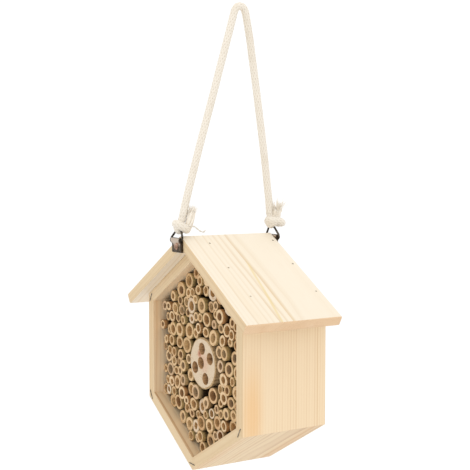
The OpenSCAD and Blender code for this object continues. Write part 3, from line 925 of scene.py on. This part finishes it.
# For each board: where the pith of its log lies across its width, and how far under its face
PITHS = [(0.020, -0.045), (-0.100, -0.030), (0.004, -0.026), (-0.060, -0.05), (0.012, 0.04),
         (-0.030, 0.05)]
for k, board_name in enumerate(BOARD_NAMES):
    outline = [(x, z + centre_z) for x, z in (turned(*corner, k) for corner in BOARD)]
    along, out = turned(COS30, -SIN30, k), turned(SIN30, COS30, k)
    face = out[0] * outline[0][0] + out[1] * outline[0][1]
    pith_y, pith_depth = PITHS[k]
    plank(board_name + "_pine", outline, front_y, rear_y, along, out,
          (pith_y, face + pith_depth), board_name,
          [lower_wood if "lower" in board_name else frame_wood, frame_wood, shaded_edge_pine],
          joints=(1, 3), offset=k * 0.37)

eave = (slope * COS30, ridge - slope * SIN30)
under = (eave[0] - roof_t * SIN30, eave[1] - roof_t * COS30)
for name, mirror, pith_y, depth in (("roof_right", False, 0.008, -0.036),
                                    ("roof_left", True, -0.002, -0.05)):
    sign = -1 if mirror else 1
    outline = [(0, ridge), (sign * eave[0], eave[1]), (sign * under[0], under[1]),
               (0, side + centre_z)]
    if mirror:
        outline = outline[::-1]
    along, out = (sign * COS30, -SIN30), (sign * SIN30, COS30)
    face = out[1] * ridge
    plank(name + "_pine", outline, roof_box[LOW].y, roof_box[HIGH].y, along, out,
          (pith_y, face + depth), name, [roof_wood, roof_end, shaded_edge_pine],
          soft=0.0015, joints=(2,) if mirror else (3,), offset=2.1 + sign * 0.4)

hexagon = [(inner_side * math.sin(math.radians(60 * k)), centre_z
            + inner_side * math.cos(math.radians(60 * k))) for k in range(6)]
plank("back_plywood", hexagon, panel_box[LOW].y, panel_box[HIGH].y, (0, 1), (1, 0),
      (panel_box[LOW].y - 0.055, 0.006), "back_panel", [ply, ply, ply],
      soft=0.0003)

# ---- the drilled log ----


def circle(cx, cz, y, radius, n):
    """Points round an upright circle; radius may depend on the angle."""
    out = []
    for a in angles(n):
        r = radius(a) if callable(radius) else radius
        out.append((cx + r * math.cos(a), y, cz + r * math.sin(a)))
    return out


def wobble(seed, amount, rate):
    """A radius change round a circle: inward, or outward where the amount is negative."""
    def change(a):
        p = Vector((math.cos(a) * rate, math.sin(a) * rate, seed))
        return -amount * (0.5 + 0.5 * noise.noise(p))
    return change


LOG_SIDES, HOLE_SIDES = 144, 48
# How far the log's pith lies off its middle, in X and Z
PITH_OFF = (0.0012, 0.0008)


def build_log():
    cx = (log_box[LOW].x + log_box[HIGH].x) / 2
    cz = (log_box[LOW].z + log_box[HIGH].z) / 2
    y0, y1 = log_box[LOW].y, log_box[HIGH].y
    radius = (log_box[HIGH].x - log_box[LOW].x) / 2
    coarse, fine = wobble(3.0, 0.0006, 1.6), wobble(8.0, 0.0003, 9)
    n, m = LOG_SIDES, HOLE_SIDES
    bm = bmesh.new()

    def edge(inset):
        return lambda a: radius + coarse(a) + fine(a) - inset

    def ring_of(points):
        return [bm.verts.new(p) for p in points]

    def join(a, b, index):
        for i in range(len(a)):
            j = (i + 1) % len(a)
            bm.faces.new((a[i], a[j], b[j], b[i])).material_index = index

    rim = ring_of(circle(cx, cz, y0, edge(0.0011), n))
    line = ring_of(circle(cx, cz, y0 + 0.00012, edge(0.0005), n))
    last = ring_of(circle(cx, cz, y0 + 0.0005, edge(0), n))
    join(rim, line, 1)
    join(line, last, 1)
    for depth in (0.002, 0.005, 0.012, y1 - y0):
        rough = wobble(20 + depth * 900, 0.0003, 7)
        ring = ring_of(circle(cx, cz, y0 + depth, lambda a: edge(0)(a) + rough(a), n))
        join(last, ring, 1)
        last = ring
    bm.faces.new(last[::-1]).material_index = 0
    edges = [bm.edges.get((rim[i], rim[(i + 1) % n])) for i in range(n)]
    holes = [o for o in record["physics"]["openings"] if o["name"].startswith("log_hole")]
    for number, hole in enumerate(holes):
        low, high = hole["box_m"]
        hx, hz = (low[0] + high[0]) / 2, (low[2] + high[2]) / 2
        r = ((high[0] - low[0]) / 2 + 0.00005) * math.sqrt(2)
        chips = wobble(40 + number, -0.0005, 6)
        mouth = ring_of(circle(hx, hz, y0, lambda a: r + 0.00012 + chips(a), m))
        neck = ring_of(circle(hx, hz, y0 + 0.0005, lambda a: r + chips(a) * 0.3, m))
        mid = ring_of(circle(hx, hz, y0 + 0.004, r, m))
        floor = ring_of(circle(hx, hz, high[1], r, m))
        join(neck, mouth, 2)
        join(mid, neck, 2)
        join(floor, mid, 2)
        bm.faces.new(floor).material_index = 2
        edges += [bm.edges.get((mouth[i], mouth[(i + 1) % m])) for i in range(m)]
    filled = bmesh.ops.triangle_fill(bm, use_beauty=True, use_dissolve=False, edges=edges)
    for f in filled["geom"]:
        if isinstance(f, bmesh.types.BMFace):
            f.material_index = 0
    bmesh.ops.recalc_face_normals(bm, faces=bm.faces)
    mesh = new_mesh("drilled_log_section", [log_wood, bark, drilled])
    bm.to_mesh(mesh)
    bm.free()
    co = np.array([v.co for v in mesh.vertices])
    write_attribute(mesh, "wood", co - np.array([cx + PITH_OFF[0], y0, cz + PITH_OFF[1]]))
    shade_smooth(mesh)
    sharpen(mesh, 35)
    add_object(mesh, "house", ["drilled_log"])


build_log()

# ---- bamboo ----

CANE_SIDES = 28


def cane(parts, points, seed):
    """One bamboo tube: a slightly oval cane with a rough sawn end and an off-centre bore."""
    r = random.Random(seed)
    low, high = points.min(0), points.max(0)
    cx, cz = (low[0] + high[0]) / 2, (low[2] + high[2]) / 2
    y0, y1 = low[1], high[1]
    outer = (high[0] - low[0]) / 2
    inner = np.hypot(points[:, 0] - cx, points[:, 2] - cz).min()
    flat, turn = r.uniform(0, 0.045), r.uniform(0, math.pi)
    lump, turn3 = r.uniform(0, 0.02), r.uniform(0, math.pi)
    bore_flat, bore_turn = r.uniform(-0.10, 0.06), r.uniform(0, math.pi)
    shift = (outer - inner) * r.uniform(0, 0.22)
    shift_at = r.uniform(0, 2 * math.pi)
    slant, slant_at = r.uniform(0, 0.09), r.uniform(0, 2 * math.pi)
    tone = r.random()
    if r.random() < 0.03:
        tone = 1.0
    place = r.uniform(0, 50)
    n = CANE_SIDES

    def skin_r(a):
        return outer * (1 - flat * (0.5 + 0.5 * math.cos(2 * (a - turn)))
                        - lump * (0.5 + 0.5 * math.cos(3 * (a - turn3))))

    def bore_r(a):
        return inner * (1 + bore_flat * (0.5 + 0.5 * math.cos(2 * (a - bore_turn))))

    def ring(make, depth, saw):
        pts, cane_at = [], []
        for a in angles(n):
            radius, centre = make(a)
            x = radius * math.cos(a) + centre * math.cos(shift_at)
            z = radius * math.sin(a) + centre * math.sin(shift_at)
            dy = depth
            if saw:
                dy += slant * (x * math.cos(slant_at) + z * math.sin(slant_at)) * saw
                dy += 0.00022 * saw * noise.noise(Vector((x * 900, z * 900, place)))
            pts.append((cx + x, y0 + dy, cz + z))
            cane_at.append((x + place, dy, z))
        return pts, cane_at

    def bore_wall(a):
        return bore_r(a), shift

    def wall(share):
        return lambda a: (bore_r(a) * (1 - share) + skin_r(a) * share, shift * (1 - share))

    def shrink(share):
        return lambda a: (skin_r(a) * share, 0.0)

    base = slant * outer * 0.6
    # Each ring's shape, its depth, how much the saw's slant moves it, its share of the way out
    # from bore to skin, and how deep the shaders take it to be, which sets their painted shade in
    # the bore and between the canes. The bore comes first, then the sawn end, then the skin.
    rows = [
        (bore_wall, y1 - y0 - 0.0002, 0, 0, 0.06), (bore_wall, 0.012, 0, 0, 0.012),
        (bore_wall, 0.004, 0, 0, 0.004), (bore_wall, 0.0004 + base, 1, 0, 0.0),
        (wall(0.06), 0.0001 + base, 1, 0.06, 0), (wall(0.35), base, 1, 0.35, 0),
        (wall(0.7), base, 1, 0.7, 0), (wall(0.95), 0.00004 + base, 1, 0.95, 0),
        (wall(1.0), 0.00022 + base, 1, 1.0, 0), (shrink(0.995), 0.002 + base, 0, 1, 0.001),
        (shrink(0.995), 0.0045 + base, 0, 1, 0.0035),
    ]
    if r.random() < 0.3:
        at = r.uniform(0.006, 0.012)
        rows += [(shrink(share), at + on, 0, 1, at - 0.001)
                 for share, on in ((0.985, 0), (1.0, 0.0006), (0.975, 0.0012))]
    rows += [(shrink(0.985), 0.016, 0, 1, 0.015), (shrink(0.985), y1 - y0, 0, 1, y1 - y0)]
    rings, at, outs, deeps = [], [], [], []
    for make, depth, saw, out, deep in rows:
        points, cane_at = ring(make, depth, saw)
        rings.append(points)
        at += cane_at
        outs += [out] * n
        deeps += [deep] * n
    verts, faces = loft(rings)
    faces = [f[::-1] for f in faces]
    index = [2] * 3 * n + [1] * 4 * n + [0] * (len(rows) - 8) * n
    parts.add(verts, faces, index, cane=at, out=outs, deep=deeps, tone=tone)


for node in sorted(n for n in frame["nodes"] if n.startswith("bamboo_row")):
    parts = Parts()
    for number, points in enumerate(islands(node)):
        cane(parts, points, int(node.split("_")[-1]) * 100 + number)
    o = parts.make(node.replace("bamboo", "bamboo_canes"), [skin, cut, bore], "house", "bamboo",
                   [node])
    sharpen(o.data, 50)

# ---- staples and nails ----


# A staple's half width, the bow of its crown, and how far its leg and its bend go in
STAPLE_HALF, STAPLE_BOW, STAPLE_LEG, STAPLE_BEND = 0.0037, 0.0001, 0.004, 0.0005
# Half the width and half the thickness of its flat wire, and the wire's outline
FLAT_W, FLAT_T = 0.0003, 0.0002
FLAT_WIRE = [(-1, -0.6), (-0.7, -1), (0.7, -1), (1, -0.6), (1, 0.5), (0.6, 1), (-0.6, 1),
             (-1, 0.5)]


def staple(parts, centre, tangent, radial, inward):
    """A flat wire staple: its crown bowed a little off the wood, its legs in it."""
    spots = [s / 8 - 1 for s in range(17)]
    crown = [centre + tangent * STAPLE_HALF * t - inward * (FLAT_T + STAPLE_BOW * (1 - t * t))
             for t in spots]
    left, right = crown[0], crown[-1]
    path = [left + inward * STAPLE_LEG, left + inward * STAPLE_BEND] + crown + [
        right + inward * STAPLE_BEND, right + inward * STAPLE_LEG]
    normals = [-tangent, (-tangent - inward).normalized()] + [-inward] * len(crown) + [
        (tangent - inward).normalized(), tangent]
    parts.add(*loft([[p + radial * x * FLAT_W + n * y * FLAT_T for x, y in FLAT_WIRE]
                     for p, n in zip(path, normals)], True, True))


for node in ("corner_staples_front", "corner_staples_rear"):
    parts = Parts()
    inward = Vector((0, 1 if node.endswith("front") else -1, 0))
    for points in islands(node):
        middle = (points.min(0) + points.max(0)) / 2
        radial = Vector((middle[0], 0, middle[2] - centre_z)).normalized()
        tangent = Vector((radial.z, 0, -radial.x))
        y = front_y if node.endswith("front") else rear_y
        staple(parts, Vector((middle[0], y, middle[2])), tangent, radial, inward)
    parts.make(node + "_wire", [staple_steel], "house", "fastener_steel", [node])

# A nail's head: radius and height of each ring, from in the wood to its middle
NAIL_RINGS = [(0.00072, -0.0006), (0.00072, 0.00001), (0.00064, 0.00006), (0.0004, 0.00008),
              (0.0001, 0.00007)]
NAIL_SIDES = 16
for node, sign in (("roof_nails_right", 1), ("roof_nails_left", -1)):
    parts = Parts()
    out = Vector((sign * SIN30, 0, COS30))
    u, v = Vector((0, 1, 0)), out.cross(Vector((0, 1, 0)))
    for points in islands(node):
        heights = points @ np.array(out)
        top = Vector(points[heights > heights.max() - 0.00005].mean(0))
        parts.add(*loft([[top + out * height + radius * around(u, v, a)
                          for a in angles(NAIL_SIDES)] for radius, height in NAIL_RINGS],
                        False, True))
    parts.make(node + "_heads", [nail_steel], "house", "fastener_steel", [node])

# ---- hanger straps and screws ----

# In millimetres: the folded sheet, its fold's middle line, and its front layer's place in Y
STRAP_T, STRAP_HALF, STRAP_H, FOLD_R, FRONT_Y = 0.8, 7.0, 8.8, 1.25, 0.45
SLOT_X, SLOT_Z = (3.5, 4.9), (-7.6, -4.0)
# Where the strap's mesh has its columns, on its right half
COLUMNS = [1.2, *SLOT_X, 6.6, STRAP_HALF]
# The sheet's corners are cut off by this much, and its edges rounded by this much in metres
STRAP_CORNER, STRAP_ARRIS = 0.4, 0.00016
# The screw's slot: its turn, half its width at the top, how far its walls lean in, its depth,
# and how far the dome's rim lies in the strap
SLOT_TURN, SLOT_HALF, SLOT_WALL, SLOT_DEEP, DOME_SUNK = math.radians(20), 0.50, 0.16, 0.55, 0.05
DOME_RINGS, DOME_SIDES = 26, 80


def strap_profile():
    """The middle line of the folded sheet in Y and Z, from the back layer's foot round the wire."""
    points = [(FOLD_R, z) for z in (-STRAP_H, SLOT_Z[0], SLOT_Z[1], -2.0)]
    points += [(FOLD_R * math.cos(math.radians(a)), FOLD_R * math.sin(math.radians(a)))
               for a in range(0, 181, 15)]
    points += [(-1.22, -0.5), (-0.95, -1.15), (-0.4, -1.75), (0.15, -2.2), (0.42, -2.8)]
    return points + [(FRONT_Y, z) for z in (SLOT_Z[1], SLOT_Z[0], -STRAP_H)]


def strap(name, place, node):
    """The folded strap, with a slot on each side. "low" is high at its foot and its edges, where the shader paints
    shade.
    """
    profile = strap_profile()
    columns = [-x for x in COLUMNS[::-1]] + COLUMNS
    normals = []
    for i in range(len(profile)):
        a = Vector((*profile[max(i - 1, 0)], 0))
        b = Vector((*profile[min(i + 1, len(profile) - 1)], 0))
        t = (b - a).normalized()
        normals.append((t.y, -t.x))
    verts, ids, painted_shade_levels = [], {}, []

    def point(i, j, outer):
        key = (i, j, outer)
        if key not in ids:
            y, z = profile[i]
            shift = STRAP_T / 2 * (1 if outer else -1)
            if i in (0, len(profile) - 1) and abs(columns[j]) == STRAP_HALF:
                z += STRAP_CORNER
            ids[key] = len(verts)
            # Painted shade at the side edges and along the top of the fold by the wire, and darker towards the
            # foot.
            edge = abs(columns[j]) >= COLUMNS[-2] or z > 0.9
            painted_shade_levels.append(min(max(-z / STRAP_H, 0), 1) + (0.7 if edge else 0))
            verts.append(place @ Vector((columns[j], y + normals[i][0] * shift,
                                         z + normals[i][1] * shift)))
        return ids[key]

    rows, cols = len(profile) - 1, len(columns) - 1

    def solid(i, j):
        if not (0 <= i < rows and 0 <= j < cols):
            return False
        z = (profile[i][1] + profile[i + 1][1]) / 2
        x = abs(columns[j] + columns[j + 1]) / 2
        return not (SLOT_X[0] < x < SLOT_X[1] and SLOT_Z[0] < z < SLOT_Z[1])

    faces, bare = [], []
    for i in range(rows):
        for j in range(cols):
            if not solid(i, j):
                continue
            a, b, c, d = (i, j), (i, j + 1), (i + 1, j + 1), (i + 1, j)
            faces.append([point(*q, True) for q in (a, b, c, d)])
            faces.append([point(*q, False) for q in (d, c, b, a)])
            bare += [0, 0]
            for p, q, other in ((a, b, (i - 1, j)), (b, c, (i, j + 1)), (c, d, (i + 1, j)),
                                (d, a, (i, j - 1))):
                if not solid(*other):
                    faces.append([point(*q, True), point(*p, True), point(*p, False),
                                  point(*q, False)])
                    bare.append(1 if 0 < other[0] < rows - 1 and 0 < other[1] < cols - 1 else 0)
    o = piece(name, verts, faces, [strap_steel, bare_steel], None, [node], bare,
              attributes={"low": painted_shade_levels})
    bm = bmesh.new()
    bm.from_mesh(o.data)
    bmesh.ops.recalc_face_normals(bm, faces=bm.faces)
    rims = [e for e in bm.edges if len(e.link_faces) == 2 and e.calc_face_angle(0) > 1.0]
    soften(bm, rims, STRAP_ARRIS, 2)
    bm.to_mesh(o.data)
    bm.free()
    shade_smooth(o.data)
    sharpen(o.data, 40)
    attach(o, "house")


def screw(name, place, node):
    """A domed screw with a straight slot, seen end on along +Y of the hanger's frame."""
    points = np.array([place.inverted() @ Vector(p) for p in node_points(node)])
    head = points[points[:, 1] < 0.0]
    radius = float(head[:, 0].max() - head[:, 0].min()) / 2
    tall = float(-head[:, 1].min())
    cz = float(head[:, 2].max() + head[:, 2].min()) / 2
    rings = []
    for i in range(DOME_RINGS + 1):
        r = radius * (i / DOME_RINGS) ** 0.8
        ring = []
        for a in angles(DOME_SIDES):
            x, z = r * math.cos(a), r * math.sin(a)
            h = tall * max(1 - (r / radius) ** 2.4, 0) ** 0.55
            across = abs(x * math.cos(SLOT_TURN) + z * math.sin(SLOT_TURN))
            if i < DOME_RINGS - 2:
                h -= SLOT_DEEP * min(max((SLOT_HALF - across) / SLOT_WALL, 0), 1)
            ring.append(place @ Vector((x, DOME_SUNK - h, cz + z)))
        rings.append(ring)
    verts, faces = loft(rings)
    piece(name, verts, faces, [screw_steel], "house", [node])


def fixed_frame(pivot, turned_round):
    """From a strap's own frame, in millimetres, to the row frame."""
    s = -1 if turned_round else 1
    return Matrix(((s * MM, 0, 0, pivot.x), (0, s * MM, 0, pivot.y), (0, 0, MM, pivot.z),
                   (0, 0, 0, 1)))


for end, pivot, turned_round in (("front", front_pivot, False), ("rear", rear_pivot, True)):
    strap(end + "_folded_strap", fixed_frame(pivot, turned_round), end + "_hanger_strap")
    screw(end + "_screw_head", fixed_frame(pivot, turned_round), end + "_hanger_screw")

# ---- floor and light ----

FLOOR_Z, FLOOR_HALF = centre_z - side - 0.9, 30


def floor_material():
    g = Graph("pale_floor")
    haze = g.noise(g.here(), 1.5)
    return g.finish(g.mix(haze, (254, 254, 254), (252, 252, 252)), 0.9)


corners = [(-1, -1), (1, -1), (1, 1), (-1, 1)]
floor = piece("floor", [(x * FLOOR_HALF, y * FLOOR_HALF, FLOOR_Z) for x, y in corners],
              [[0, 1, 2, 3]], [floor_material()], None)

WORLD_STRENGTH = 1.08
world = bpy.data.worlds.new("studio")
world.use_nodes = True
world.node_tree.nodes["Background"].inputs["Color"].default_value = (1, 1, 1, 1)
world.node_tree.nodes["Background"].inputs["Strength"].default_value = WORLD_STRENGTH
bpy.context.scene.world = world
bpy.context.scene.view_settings.view_transform = "Standard"
bpy.context.scene.view_settings.look = "None"


HOUSE = Vector((0, -0.01, centre_z))
SOFTBOX_SIZE = 0.9


def softbox(name, place, power, colour):
    """A round soft light that faces the house."""
    light = bpy.data.lights.new(name, "AREA")
    light.shape = "DISK"
    light.size, light.energy, light.color = SOFTBOX_SIZE, power, colour
    o = bpy.data.objects.new(name, light)
    bpy.context.scene.collection.objects.link(o)
    o.location = place
    o.rotation_euler = (HOUSE - Vector(place)).to_track_quat("-Z", "Y").to_euler()


softbox("top_softbox", (0.35, -0.15, 1.0), 2.6, (1, 0.99, 0.97))
softbox("front_softbox", (0.75, -1.3, 0.25), 0.8, (1, 0.99, 0.98))
